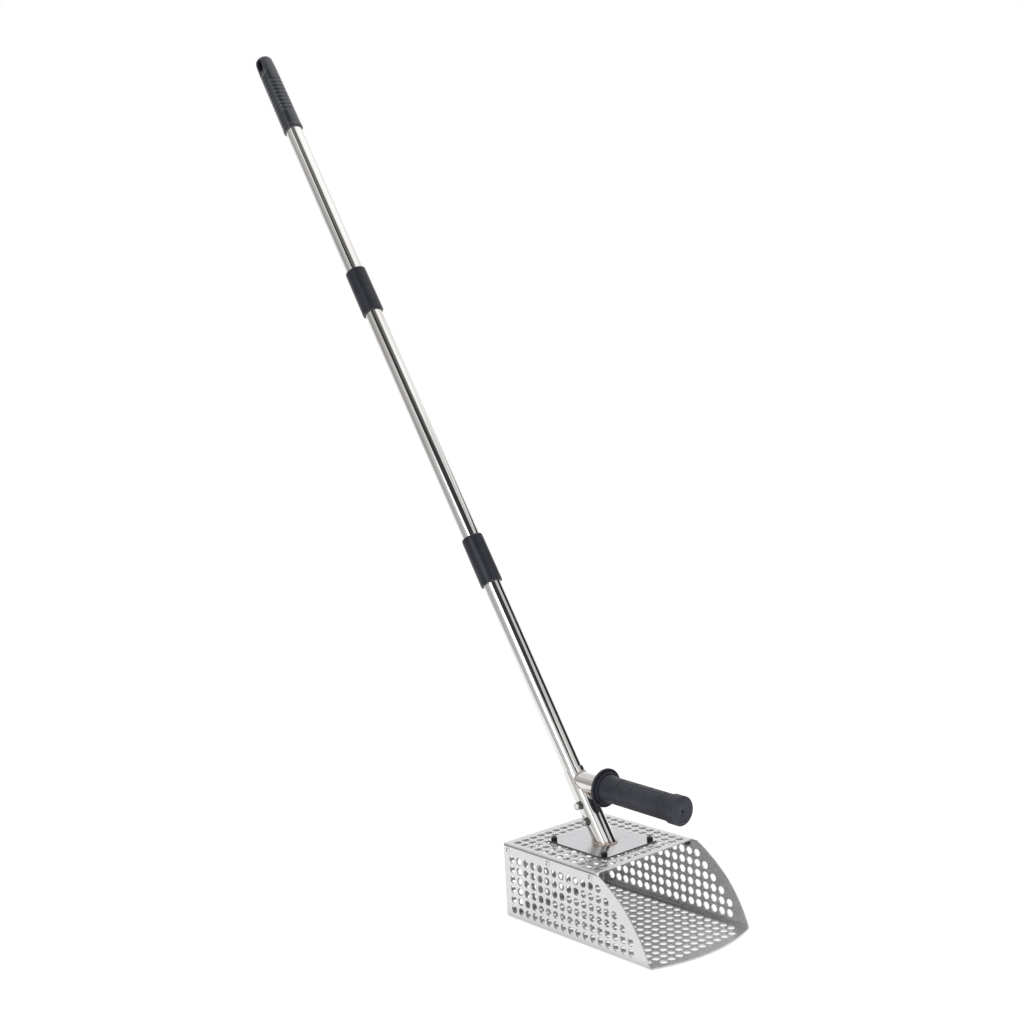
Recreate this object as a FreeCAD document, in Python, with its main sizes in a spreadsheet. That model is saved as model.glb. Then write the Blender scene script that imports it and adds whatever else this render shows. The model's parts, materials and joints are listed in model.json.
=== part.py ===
import FreeCAD, Part
import math
import os
import Sketcher

# Long-handled beach sand scoop: a folded perforated sheet scoop, a riveted cover with a bolted plate and
# a leaning pole socket, a cross handle with a rubber grip, and a three-piece screwed pole.
# +X points out of the mouth and +Z up. The origin is on the underside of the floor, mid-width, below the
# foot of the socket.

DIMENSIONS = [
    # alias, millimetres (degrees where the note says so), what it is
    ("hole_pitch", 12, "spacing of the square perforation grid"),
    ("hole_size", 9, "diameter of one perforation"),
    ("sheet", 1.5, "thickness of every perforated sheet"),
    ("bend", 4, "outer radius of the folded edges"),
    ("half_width", 79, "mid-plane to the outside of a side wall"),
    ("side_top", 86.4, "height of the side and rear walls"),
    ("scoop_height", 88, "height of the top of the cover"),
    ("rear_back", 88, "origin back to the outside of the rear wall"),
    ("lip_side", 148, "origin forward to the lip at the side walls"),
    ("lip_bulge", 15, "how far the middle of the lip stands ahead of its ends"),
    ("cover_front", 67, "origin forward to the front edge of the cover"),
    ("side_front", 73, "origin forward to the top front corner of a side wall"),
    ("side_bulge", 11, "rise of the side wall's curved front edge above its chord"),
    ("first_column", 72, "origin back to the first column of holes in floor and sides"),
    ("floor_columns", 19, "holes along an inner row of the floor"),
    ("floor_inner_rows", 10, "full rows of the floor"),
    ("cross_rows", 12, "holes across the floor, the rear wall and the cover"),
    ("wall_rows", 6, "rows of holes up the rear wall"),
    ("cover_half", 77.4, "mid-plane to the outside of the cover's flanges"),
    ("cover_bend", 3, "outer radius of the cover's folded edges"),
    ("flange_depth", 10.5, "height of the cover's turned-down flanges"),
    ("flange_back", 82.5, "origin back to the rear end of the flanges"),
    ("cover_column", 75.4, "origin back to the first column of holes in the cover"),
    ("cover_columns", 12, "columns of holes in the cover"),
    ("rivet_back", 79.5, "origin back to the rearmost rivet"),
    ("rivet_spacing", 69.5, "spacing of the three rivets of a side"),
    ("rivet_height", 81.3, "height of the rivets"),
    ("rivet_body", 3.2, "diameter of a blind rivet's body"),
    ("rivet_head", 7.5, "diameter of a blind rivet's head"),
    ("rivet_rim", 0.5, "thickness of a rivet head at its rim"),
    ("rivet_dome", 0.9, "rise of a rivet head above its rim"),
    ("rivet_crown", 4.4, "diameter of the flat top of a rivet head"),
    ("rivet_bulb", 5, "diameter of the bulb inside"),
    ("rivet_tail", 3.6, "length of the bulb inside"),
    ("plate_length", 95, "mounting plate along X"),
    ("plate_width", 82, "mounting plate along Y"),
    ("plate_back", 3.4, "origin back to the middle of the plate and of its screws"),
    ("plate_thick", 2, "mounting plate thickness"),
    ("screw_along", 84, "plate screw spacing along X"),
    ("screw_across", 72, "plate screw spacing along Y"),
    ("screw_hole", 4.3, "clearance hole of the plate screws"),
    ("screw_size", 4, "plate screw diameter"),
    ("screw_length", 10, "plate screw length under its head"),
    ("screw_head", 7, "plate screw head diameter"),
    ("screw_head_height", 4, "plate screw head height"),
    ("screw_key", 3, "key hexagon in a plate screw's head, across flats"),
    ("screw_key_depth", 2, "depth of the key hexagon"),
    ("nut_flats", 7, "plate nut across flats"),
    ("nut_height", 3.2, "plate nut height"),
    ("nut_bore", 4.06, "plate nut bore"),
    ("washer_size", 9, "plate washer diameter"),
    ("washer_thick", 0.8, "plate washer thickness"),
    ("pole_lean", 32.4, "degrees that the pole leans back from upright"),
    ("foot_x", 2.5, "origin forward to the pole axis at the top of the cover"),
    ("socket_outer", 25.4, "socket tube outside diameter"),
    ("socket_inner", 22.1, "socket tube bore, a sliding fit on the pole"),
    ("socket_top", 92, "top of the socket, along the pole axis"),
    ("saddle", 25.44, "bore of what is welded round or against the socket"),
    ("clamp_low", 30, "lower clamp bolt, along the pole axis"),
    ("clamp_high", 50, "upper clamp bolt, along the pole axis"),
    ("pole_outer", 22, "pole tube outside diameter"),
    ("pole_inner", 20, "pole tube bore"),
    ("pole_foot", 10, "bottom of the lower tube, along the pole axis"),
    ("first_joint", 369, "plane of the lower screwed joint, along the pole axis"),
    ("second_joint", 760.5, "plane of the upper screwed joint, along the pole axis"),
    ("pole_end", 1100, "top of the upper tube, inside the top grip"),
    ("collar_below", 32, "collar length below the joint plane"),
    ("collar_above", 32, "collar length above the joint plane"),
    ("collar_inner", 22.1, "collar bore, a running fit on the tube below"),
    ("collar_low", 27.6, "collar diameter at its lower end"),
    ("collar_high", 26.8, "collar diameter at its upper end"),
    ("collar_chamfer", 1.5, "chamfer at both ends of a collar"),
    ("thread_outer", 16, "diameter over the male thread"),
    ("thread_inner", 16.6, "bore of the female thread"),
    ("thread_reach", 24, "height of the male thread above the joint plane"),
    ("thread_chamfer", 1, "chamfer at the end of the male thread"),
    ("plug_depth", 35, "depth of the male plug in its tube"),
    ("insert_depth", 32, "depth of the female insert in its tube"),
    ("fixed_fit", 19.96, "outside diameter of plugs and inserts fixed in a tube"),
    ("thrust_washer", 1, "space between the tubes of a screwed joint, which holds a thrust washer"),
    ("thrust_gap", 0.05, "clearance on each side of a thrust washer"),
    ("thrust_outer", 21.8, "outside diameter of the thrust washer"),
    ("stub_height", 80, "handle axis crosses the pole axis here, along the pole axis"),
    ("stub_droop", 1.4, "degrees that the handle droops forward"),
    ("stub_outer", 22, "handle tube outside diameter"),
    ("stub_inner", 19, "handle tube bore"),
    ("stub_end", 160, "end of the handle tube, along the handle axis"),
    ("stub_saddle", 22.04, "bore of the weld bead round the handle tube"),
    ("weld_size", 2, "leg of the weld bead round the socket's foot"),
    ("stub_weld", 1.5, "leg of the weld bead round the handle tube"),
    ("grip_start", 46, "hand guard's back face, along the handle axis"),
    ("grip_end", 168.5, "end face of the rubber grip, along the handle axis"),
    ("grip_size", 30.5, "diameter of the rubber grip's body"),
    ("guard_size", 45, "diameter of the rubber grip's hand guard"),
    ("step_size", 38, "diameter of the step in front of the hand guard"),
    ("end_size", 33.5, "diameter of the rubber grip's end collar"),
    ("grip_fit", 22.04, "bore of the rubber grip"),
    ("guard_rim", 3, "thickness of the hand guard's rim"),
    ("guard_end", 4.5, "back of the grip to where the guard meets the step"),
    ("step_end", 7, "back of the grip to the end of the step"),
    ("body_start", 12, "back of the grip to the start of its body"),
    ("body_finish", 16, "end of the grip back to the end of its body"),
    ("end_collar", 13, "end of the grip back to the full diameter of its end collar"),
    ("end_chamfer", 1, "chamfer of the grip's end"),
    ("end_gap", 2, "space between the handle tube and the grip's closed end"),
    ("grip_vent", 3, "diameter of the vent in the grip's closed end"),
    ("top_grip_start", 1018, "lower lip of the top grip, along the pole axis"),
    ("top_grip_end", 1136.5, "tip of the top grip, along the pole axis"),
    ("top_grip_fit", 22.04, "bore of the top grip"),
    ("top_grip_lip", 26.6, "diameter of the top grip's lower lip"),
    ("lip_length", 5, "length of the top grip's lower lip"),
    ("lip_taper", 2, "length of the taper above the lip"),
    ("top_grip_size", 26, "diameter of the top grip above its lip"),
    ("top_grip_neck", 24.8, "diameter of the top grip at the hang slot"),
    ("top_grip_shoulder", 23.2, "diameter where the top grip starts to round in at its tip"),
    ("shoulder_drop", 4, "tip of the top grip back to that shoulder"),
    ("top_grip_tip", 17, "diameter of the top grip's flat tip"),
    ("slot_width", 10, "width of the hang slot"),
    ("slot_length", 15, "length of the hang slot"),
    ("slot_middle", 1126, "middle of the hang slot, along the pole axis"),
    ("flat_size", 17.5, "thickness of the top grip across the hang slot's flats"),
    ("flat_margin", 3, "how far the flats start below the hang slot"),
    ("bolt_size", 5, "clamp bolt diameter"),
    ("bolt_flats", 8, "clamp bolt and weld nut across flats"),
    ("bolt_head", 3.5, "clamp bolt head height"),
    ("bolt_tip", 11.05, "pole axis to the tip of a tightened clamp bolt"),
    ("nut_face", 14.4, "pole axis to the outer face of a weld nut"),
    ("bolt_washer", 10, "clamp washer diameter"),
    ("bolt_washer_thick", 0.8, "clamp washer thickness"),
    ("bolt_slack", 0.2, "how much wider than the bolt the washer's bore is"),
    ("bolt_hole", 5.3, "holes in the socket for the clamp bolts"),
    ("bolt_bore", 5.1, "bore of a weld nut"),
    ("nut_inner", 10, "pole axis to the inner end of a weld nut before it is saddled"),
    ("overrun", 5, "how far a cutting shape runs past what it cuts"),
]

# Holes in each row of a side wall, from the bottom row up.
SIDE_ROW_HOLES = (17, 17, 16, 15, 14, 13)
RIVETS_PER_SIDE = 3
HEXAGON_CORNERS = 6

doc = FreeCAD.newDocument("beach_sand_scoop")
dims = doc.addObject("Spreadsheet::Sheet", "dims")
for row, (alias, size, note) in enumerate(DIMENSIONS, start=1):
    dims.set(f"A{row}", alias.replace("_", " "))
    dims.set(f"B{row}", str(size))
    dims.setAlias(f"B{row}", alias)
    dims.set(f"C{row}", note)
doc.recompute()

subparts = []


def number(expression):
    """Value of an expression on the dimension sheet, as a plain number."""
    result = dims.evalExpression(expression)
    return float(getattr(result, "Value", result))


def keep(obj, label):
    """Name an object as a sub-part that is written out."""
    obj.Label = label
    subparts.append(obj)
    return obj


def pole_frame(along="0"):
    """Placement on the pole axis with its local Z along the pole, starting at the cover's top."""
    lean = math.radians(number("dims.pole_lean"))
    distance = number(along)
    foot = FreeCAD.Vector(number("dims.foot_x"), 0, number("dims.scoop_height"))
    axis = FreeCAD.Vector(-math.sin(lean), 0, math.cos(lean))
    turn = FreeCAD.Rotation(FreeCAD.Vector(0, 1, 0), -number("dims.pole_lean"))
    return FreeCAD.Placement(foot + axis * distance, turn)


def handle_frame():
    """Placement where the handle axis crosses the pole axis, with its local Z along the handle."""
    start = pole_frame("dims.stub_height").Base
    turn = FreeCAD.Rotation(FreeCAD.Vector(0, 1, 0), 90 + number("dims.stub_droop"))
    return FreeCAD.Placement(start, turn)


def clamp_frame(along):
    """Placement on the pole axis with its local Z pointing out of the socket towards -Y."""
    turn = FreeCAD.Rotation(FreeCAD.Vector(1, 0, 0), 90)
    return pole_frame(along) * FreeCAD.Placement(FreeCAD.Vector(), turn)


# ---- sketches and PartDesign features ---------------------------------------------------------------

def new_body(label):
    """Empty PartDesign body that becomes a sub-part."""
    return keep(doc.addObject("PartDesign::Body", "body_" + label), label)


def origin_plane(body, role):
    """One of a body's own three origin planes."""
    return next(item for item in body.Origin.OriginFeatures if item.Role == role)


def new_sketch(body, plane, offset=None):
    """Sketch on one of the body's origin planes, moved off it by an expression if one is given."""
    sketch = body.newObject("Sketcher::SketchObject", "sketch")
    sketch.AttachmentSupport = [(origin_plane(body, plane), "")]
    sketch.MapMode = "FlatFace"
    if offset:
        sketch.setExpression("AttachmentOffset.Base.z", offset)
    return sketch


def place_point(sketch, edge, end, across, up):
    """Hold one end of a sketch edge at two expressions."""
    for kind, axis, expression in (("DistanceX", -2, across), ("DistanceY", -1, up)):
        value = number(expression)
        if abs(value) < 1e-9:
            sketch.addConstraint(Sketcher.Constraint("PointOnObject", edge, end, axis))
        else:
            index = sketch.addConstraint(Sketcher.Constraint(kind, -1, 1, edge, end, value))
            sketch.setExpression(f"Constraints[{index}]", expression)


def arc_between(start, finish, radius, side):
    """Arc of a radius from start to finish that bulges to the left (1) or the right (-1) of the way."""
    way = finish - start
    half = way.Length / 2
    rise = radius - math.sqrt(radius * radius - half * half)
    left = FreeCAD.Vector(-way.y, way.x, 0).normalize()
    return Part.Arc(start, start + way * 0.5 + left * (rise * side), finish)


def closed_outline(sketch, corners, arcs=None):
    """Closed outline through corners given as expressions; arcs maps an edge to its radius and side."""
    arcs = arcs or {}
    points = [FreeCAD.Vector(number(across), number(up), 0) for across, up in corners]
    count = len(points)
    for edge in range(count):
        start = points[edge]
        finish = points[(edge + 1) % count]
        if edge in arcs:
            radius, side = arcs[edge]
            sketch.addGeometry(arc_between(start, finish, number(radius), side))
        else:
            sketch.addGeometry(Part.LineSegment(start, finish))
    ends = []
    for edge in range(count):
        first_end = sketch.getPoint(edge, 1).distanceToPoint(points[edge]) < 1e-6
        ends.append((1, 2) if first_end else (2, 1))
    for edge, (across, up) in enumerate(corners):
        after = (edge + 1) % count
        sketch.addConstraint(Sketcher.Constraint("Coincident", edge, ends[edge][1], after, ends[after][0]))
        place_point(sketch, edge, ends[edge][0], across, up)
    for edge, (radius, side) in arcs.items():
        index = sketch.addConstraint(Sketcher.Constraint("Radius", edge, number(radius)))
        sketch.setExpression(f"Constraints[{index}]", radius)


def circle(sketch, across, up, diameter):
    """Circle in a sketch, its centre and diameter held by expressions."""
    centre = FreeCAD.Vector(number(across), number(up), 0)
    upward = FreeCAD.Vector(0, 0, 1)
    edge = sketch.addGeometry(Part.Circle(centre, upward, number(diameter) / 2))
    place_point(sketch, edge, 3, across, up)
    index = sketch.addConstraint(Sketcher.Constraint("Diameter", edge, number(diameter)))
    sketch.setExpression(f"Constraints[{index}]", diameter)


def pad(body, sketch, length, both_ways=False):
    """Pad a sketch by an expression, along its normal or half each way."""
    feature = body.newObject("PartDesign::Pad", "pad")
    feature.Profile = sketch
    feature.setExpression("Length", length)
    feature.Midplane = both_ways
    doc.recompute()
    return feature


def pocket_through(body, sketch):
    """Cut a sketch right through the body, both ways from its plane."""
    before = body.Shape.Volume
    feature = body.newObject("PartDesign::Pocket", "pocket")
    feature.Profile = sketch
    feature.Type = "ThroughAll"
    feature.Midplane = True
    doc.recompute()
    if body.Shape.Volume > before - 0.5:
        raise RuntimeError(body.Label + ": a pocket cut nothing")
    return feature


def hole_grid(body, plane, first, diameter, spacing, counts):
    """Round holes in a grid: first is the first centre, spacing and counts run across and up."""
    sketch = new_sketch(body, plane)
    circle(sketch, first[0], first[1], diameter)
    hole = pocket_through(body, sketch)
    pattern = body.newObject("PartDesign::LinearPattern", "holes")
    pattern.Originals = [hole]
    pattern.Direction = (sketch, ["H_Axis"])
    pattern.setExpression("Length", f"max({spacing[0]} * ({counts[0]} - 1); 1)")
    pattern.setExpression("Occurrences", counts[0])
    pattern.Direction2 = (sketch, ["V_Axis"])
    pattern.setExpression("Length2", f"max({spacing[1]} * ({counts[1]} - 1); 1)")
    pattern.setExpression("Occurrences2", counts[1])
    body.Tip = pattern
    doc.recompute()


def lathe(label, profile, placement, arcs=None):
    """Body of revolution about its local Z; the profile's corners are (radius, height) expressions."""
    body = new_body(label)
    sketch = new_sketch(body, "XZ_Plane")
    closed_outline(sketch, profile, arcs)
    turn = body.newObject("PartDesign::Revolution", "turn")
    turn.Profile = sketch
    turn.ReferenceAxis = (sketch, ["V_Axis"])
    turn.Angle = 360
    body.Placement = placement
    doc.recompute()
    return body


def ring(inner, outer, bottom, top):
    """Profile of a plain tube, from diameters and heights."""
    return [
        (f"{inner} / 2", bottom),
        (f"{outer} / 2", bottom),
        (f"{outer} / 2", top),
        (f"{inner} / 2", top),
    ]


# ---- Part primitives --------------------------------------------------------------------------------

def rod(diameter, bottom, top, placement):
    """Cylinder between two heights of a local frame."""
    obj = doc.addObject("Part::Cylinder", "rod")
    obj.setExpression("Radius", f"({diameter}) / 2")
    obj.setExpression("Height", f"({top}) - ({bottom})")
    obj.Placement = placement * FreeCAD.Placement(FreeCAD.Vector(0, 0, number(bottom)), FreeCAD.Rotation())
    return obj


def hexagon(flats, bottom, top, placement):
    """Hexagonal prism between two heights of a local frame."""
    obj = doc.addObject("Part::Prism", "hexagon")
    obj.Polygon = HEXAGON_CORNERS
    obj.setExpression("Circumradius", f"({flats}) / sqrt(3)")
    obj.setExpression("Height", f"({top}) - ({bottom})")
    obj.Placement = placement * FreeCAD.Placement(FreeCAD.Vector(0, 0, number(bottom)), FreeCAD.Rotation())
    return obj


def block(sizes, corner, placement):
    """Box from three expressions, its lowest corner at a vector of a local frame."""
    obj = doc.addObject("Part::Box", "block")
    for name, size in zip(("Length", "Width", "Height"), sizes):
        obj.setExpression(name, size)
    obj.Placement = placement * FreeCAD.Placement(corner, FreeCAD.Rotation())
    return obj


def cut(base, tool):
    """One object less another."""
    obj = doc.addObject("Part::Cut", "cut")
    obj.Base = base
    obj.Tool = tool
    return obj


def fuse(base, tool):
    """Two objects joined."""
    obj = doc.addObject("Part::Fuse", "fuse")
    obj.Base = base
    obj.Tool = tool
    return obj


def common(base, tool):
    """What two objects share."""
    obj = doc.addObject("Part::Common", "common")
    obj.Base = base
    obj.Tool = tool
    return obj


def group(label, members):
    """Separate solids kept together as one sub-part."""
    obj = doc.addObject("Part::Compound", "group")
    obj.Links = members
    return keep(obj, label)


# ---- scoop head -------------------------------------------------------------------------------------

def scoop_floor():
    """Flat floor between the bend lines, with its bulging lip and its holes."""
    body = new_body("scoop_floor")
    sketch = new_sketch(body, "XY_Plane")
    edge = "dims.half_width - dims.bend"
    back = "dims.bend - dims.rear_back"
    corners = [(back, f"-({edge})"), ("dims.lip_side", f"-({edge})"), ("dims.lip_side", edge), (back, edge)]
    radius = f"(({edge}) ^ 2 + dims.lip_bulge ^ 2) / (2 * dims.lip_bulge)"
    closed_outline(sketch, corners, {1: (radius, -1)})
    pad(body, sketch, "dims.sheet")
    outer_row = "dims.hole_pitch * (dims.cross_rows - 1) / 2"
    inner_row = "dims.hole_pitch * (dims.floor_inner_rows - 1) / 2"
    hole_grid(body, "XY_Plane", ("-dims.first_column", f"-({inner_row})"), "dims.hole_size",
              ("dims.hole_pitch", "dims.hole_pitch"), ("dims.floor_columns", "dims.floor_inner_rows"))
    hole_grid(body, "XY_Plane", ("-dims.first_column", f"-({outer_row})"), "dims.hole_size",
              ("dims.hole_pitch", f"2 * ({outer_row})"), ("dims.floor_columns - 1", "2"))


def bend_section(flat, edge, direction):
    """Corners and arcs of a wall folded up from the floor; flat is the bend line, edge the outside."""
    sign = "-" if direction < 0 else ""
    bottom = "0"
    outside = f"{sign}({edge})"
    inside = f"{sign}({edge} - dims.sheet)"
    line = f"{sign}({flat})"
    corners = [
        (line, bottom),
        (outside, "dims.bend"),
        (outside, "dims.side_top"),
        (inside, "dims.side_top"),
        (inside, "dims.bend"),
        (line, "dims.sheet"),
    ]
    arcs = {0: ("dims.bend", -direction), 4: ("dims.bend - dims.sheet", direction)}
    return corners, arcs


def scoop_rear():
    """Rear wall with the bend that joins it to the floor."""
    body = new_body("scoop_rear")
    sketch = new_sketch(body, "XZ_Plane")
    corners, arcs = bend_section("dims.rear_back - dims.bend", "dims.rear_back", -1)
    closed_outline(sketch, corners, arcs)
    pad(body, sketch, "2 * (dims.half_width - dims.bend)", both_ways=True)
    first = ("-dims.hole_pitch * (dims.cross_rows - 1) / 2", "dims.hole_pitch")
    hole_grid(body, "YZ_Plane", first, "dims.hole_size",
              ("dims.hole_pitch", "dims.hole_pitch"), ("dims.cross_rows", "dims.wall_rows"))


def scoop_side():
    """Left side wall with its floor bend, its rounded rear corner, its curved front and its holes."""
    body = new_body("scoop_side_left")
    sketch = new_sketch(body, "YZ_Plane", "dims.bend - dims.rear_back")
    corners, arcs = bend_section("dims.half_width - dims.bend", "dims.half_width", 1)
    closed_outline(sketch, corners, arcs)
    corner_axis = number("dims.half_width - dims.bend")
    upright = Part.LineSegment(FreeCAD.Vector(corner_axis, 0, 0), FreeCAD.Vector(corner_axis, 10, 0))
    axis_edge = sketch.addGeometry(upright, True)
    for end, height in ((1, "0"), (2, "dims.bend")):
        place_point(sketch, axis_edge, end, "dims.half_width - dims.bend", height)
    pad(body, sketch, "dims.lip_side + dims.rear_back - dims.bend")
    corner = body.newObject("PartDesign::Revolution", "corner")
    corner.Profile = sketch
    corner.ReferenceAxis = (sketch, ["Axis0"])
    corner.Angle = 90
    doc.recompute()
    front = new_sketch(body, "XZ_Plane")
    overshoot = "dims.lip_side + dims.bend"
    above = "dims.scoop_height + dims.bend"
    outline = [
        ("dims.side_front", "dims.side_top"),
        ("dims.lip_side", "0"),
        (overshoot, "0"),
        (overshoot, above),
        ("dims.side_front", above),
    ]
    chord = "((dims.lip_side - dims.side_front) ^ 2 + dims.side_top ^ 2)"
    radius = f"({chord} / 4 + dims.side_bulge ^ 2) / (2 * dims.side_bulge)"
    closed_outline(front, outline, {0: (radius, 1)})
    pocket_through(body, front)
    for index, holes in enumerate(SIDE_ROW_HOLES, start=1):
        hole_grid(body, "XZ_Plane", ("-dims.first_column", f"{index} * dims.hole_pitch"), "dims.hole_size",
                  ("dims.hole_pitch", "dims.hole_pitch"), (str(holes), "1"))
    hole_grid(body, "XZ_Plane", ("-dims.rivet_back", "dims.rivet_height"), "dims.rivet_body",
              ("dims.rivet_spacing", "dims.hole_pitch"), (str(RIVETS_PER_SIDE), "1"))
    mirror = doc.addObject("Part::Mirroring", "mirror")
    mirror.Source = body
    mirror.Normal = FreeCAD.Vector(0, 1, 0)
    keep(mirror, "scoop_side_right")


def top_cover():
    """Cover sheet folded down inside both side walls, with its holes."""
    body = new_body("top_cover")
    sketch = new_sketch(body, "YZ_Plane", "-dims.rear_back")
    outside = "dims.cover_half"
    inside = "dims.cover_half - dims.sheet"
    top = "dims.scoop_height"
    under = "dims.scoop_height - dims.sheet"
    shoulder = "dims.scoop_height - dims.cover_bend"
    hem = "dims.scoop_height - dims.flange_depth"
    curve = "dims.cover_half - dims.cover_bend"
    left = [(inside, shoulder), (inside, hem), (outside, hem), (outside, shoulder), (curve, top)]
    right = [(f"-({across})", up) for across, up in reversed(left)]
    corners = [(curve, under)] + left + right + [(f"-({curve})", under)]
    inner_radius = "dims.cover_bend - dims.sheet"
    inner = (inner_radius, 1)
    outer = ("dims.cover_bend", -1)
    closed_outline(sketch, corners, {0: inner, 4: outer, 6: outer, 10: inner})
    pad(body, sketch, "dims.cover_front + dims.rear_back")
    notch = new_sketch(body, "XZ_Plane")
    behind = "-(dims.rear_back + dims.bend)"
    end = "-dims.flange_back"
    below = "dims.scoop_height - 2 * dims.flange_depth"
    closed_outline(notch, [(behind, below), (end, below), (end, under), (behind, under)])
    pocket_through(body, notch)
    first = ("-dims.cover_column", "-dims.hole_pitch * (dims.cross_rows - 1) / 2")
    hole_grid(body, "XY_Plane", first, "dims.hole_size",
              ("dims.hole_pitch", "dims.hole_pitch"), ("dims.cover_columns", "dims.cross_rows"))
    screw_holes(body)
    hole_grid(body, "XZ_Plane", ("-dims.rivet_back", "dims.rivet_height"), "dims.rivet_body",
              ("dims.rivet_spacing", "dims.hole_pitch"), (str(RIVETS_PER_SIDE), "1"))


def screw_holes(body):
    """Four clearance holes for the plate screws."""
    first = ("-dims.plate_back - dims.screw_along / 2", "-dims.screw_across / 2")
    spacing = ("dims.screw_along", "dims.screw_across")
    hole_grid(body, "XY_Plane", first, "dims.screw_hole", spacing, ("2", "2"))


def mount_plate():
    """Flat plate that carries the socket."""
    body = new_body("mount_plate")
    sketch = new_sketch(body, "XY_Plane", "dims.scoop_height")
    back = "-dims.plate_back - dims.plate_length / 2"
    front = "dims.plate_length / 2 - dims.plate_back"
    side = "dims.plate_width / 2"
    closed_outline(sketch, [(back, f"-{side}"), (front, f"-{side}"), (front, side), (back, side)])
    pad(body, sketch, "dims.plate_thick")
    screw_holes(body)


def rivets(label, side):
    """Blind rivets of one side wall: domed head outside, body through wall and flange, bulb inside."""
    turn = FreeCAD.Rotation(FreeCAD.Vector(1, 0, 0), -90 * side)
    members = []
    for index in range(RIVETS_PER_SIDE):
        along = number(f"{index} * dims.rivet_spacing - dims.rivet_back")
        place = FreeCAD.Placement(FreeCAD.Vector(along, 0, number("dims.rivet_height")), turn)
        shank = rod("dims.rivet_body", "dims.cover_half - dims.sheet", "dims.half_width", place)
        rim = "dims.half_width + dims.rivet_rim"
        head = rod("dims.rivet_head", "dims.half_width", rim, place)
        dome = doc.addObject("Part::Cone", "dome")
        dome.setExpression("Radius1", "dims.rivet_head / 2")
        dome.setExpression("Radius2", "dims.rivet_crown / 2")
        dome.setExpression("Height", "dims.rivet_dome")
        dome.Placement = place * FreeCAD.Placement(FreeCAD.Vector(0, 0, number(rim)), FreeCAD.Rotation())
        inside = "dims.cover_half - dims.sheet"
        bulb = rod("dims.rivet_bulb", f"{inside} - dims.rivet_tail", inside, place)
        members.append(fuse(fuse(fuse(shank, head), dome), bulb))
    group(label, members)


def plate_fasteners():
    """Four cap screws down through plate and cover, each with a washer and a nut underneath."""
    screws = []
    washers = []
    nuts = []
    under = "dims.scoop_height - dims.sheet"
    seat = "dims.scoop_height + dims.plate_thick"
    head_top = f"{seat} + dims.screw_head_height"
    nut_top = f"{under} - dims.washer_thick"
    below = f"{nut_top} - dims.nut_height - dims.overrun"
    for along in (-1, 1):
        for across in (-1, 1):
            centre = FreeCAD.Vector(
                number("dims.screw_along") / 2 * along - number("dims.plate_back"),
                number("dims.screw_across") / 2 * across, 0)
            place = FreeCAD.Placement(centre, FreeCAD.Rotation())
            head = rod("dims.screw_head", seat, head_top, place)
            key_bottom = f"{head_top} - dims.screw_key_depth"
            key = hexagon("dims.screw_key", key_bottom, f"{head_top} + dims.overrun", place)
            shank = rod("dims.screw_size", f"{seat} - dims.screw_length", seat, place)
            screws.append(fuse(cut(head, key), shank))
            washer = rod("dims.washer_size", nut_top, under, place)
            washers.append(cut(washer, rod("dims.screw_hole", below, seat, place)))
            nut = hexagon("dims.nut_flats", f"{nut_top} - dims.nut_height", nut_top, place)
            nuts.append(cut(nut, rod("dims.nut_bore", below, seat, place)))
    group("plate_screws", screws)
    group("plate_washers", washers)
    group("plate_nuts", nuts)


def above_plate(height):
    """Block of space on top of the mounting plate, for trimming what is welded to it."""
    corner = FreeCAD.Vector(
        number("-dims.plate_back - dims.plate_length"),
        number("-dims.plate_width / 2"),
        number("dims.scoop_height + dims.plate_thick"))
    return block(("2 * dims.plate_length", "dims.plate_width", height), corner, FreeCAD.Placement())


def socket():
    """Leaning socket tube cut off flat on the plate, with two holes for the clamp bolts."""
    frame = pole_frame()
    bottom = "-dims.socket_outer"
    tube = cut(rod("dims.socket_outer", bottom, "dims.socket_top", frame),
               rod("dims.socket_inner", f"{bottom} - dims.overrun", "dims.socket_top + dims.overrun", frame))
    tube = common(tube, above_plate("2 * dims.socket_top"))
    for along in ("dims.clamp_low", "dims.clamp_high"):
        tube = cut(tube, rod("dims.bolt_hole", "dims.overrun", "dims.socket_outer", clamp_frame(along)))
    keep(tube, "socket_tube")


def handle_stub():
    """Handle tube with its end shaped to the socket."""
    frame = handle_frame()
    tube = cut(rod("dims.stub_outer", "0", "dims.stub_end", frame),
               rod("dims.stub_inner", "-dims.overrun", "dims.stub_end + dims.overrun", frame))
    around = rod("dims.saddle", "0", "dims.stub_height + dims.socket_top", pole_frame())
    keep(cut(tube, around), "grip_stub")


def weld_beads():
    """Fillet weld round the socket's foot and round the root of the handle tube."""
    frame = pole_frame()
    beaded = "dims.socket_outer + 2 * dims.weld_size"
    bottom = "-dims.socket_outer"
    top = "dims.stub_height + dims.socket_top"
    inside = rod("dims.saddle", f"{bottom} - dims.overrun", f"{top} + dims.overrun", frame)
    foot = cut(rod(beaded, bottom, top, frame), inside)
    keep(common(foot, above_plate("dims.weld_size")), "socket_weld_bead")
    root = rod("dims.stub_outer + 2 * dims.stub_weld", "0", "dims.grip_start", handle_frame())
    root = common(root, rod(beaded, "dims.clamp_high", top, frame))
    root = cut(root, rod("dims.saddle", "dims.clamp_low", f"{top} + dims.overrun", frame))
    root = cut(root, rod("dims.stub_saddle", "-dims.overrun", "dims.stub_end", handle_frame()))
    keep(root, "stub_weld_bead")


def clamp_nuts():
    """Weld nuts saddled on the socket."""
    nuts = []
    for along in ("dims.clamp_low", "dims.clamp_high"):
        place = clamp_frame(along)
        nut = hexagon("dims.bolt_flats", "dims.nut_inner", "dims.nut_face", place)
        nut = cut(nut, rod("dims.saddle", "0", "dims.socket_top", pole_frame()))
        nuts.append(cut(nut, rod("dims.bolt_bore", "dims.overrun", "dims.socket_outer", place)))
    group("clamp_nuts", nuts)


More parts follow.
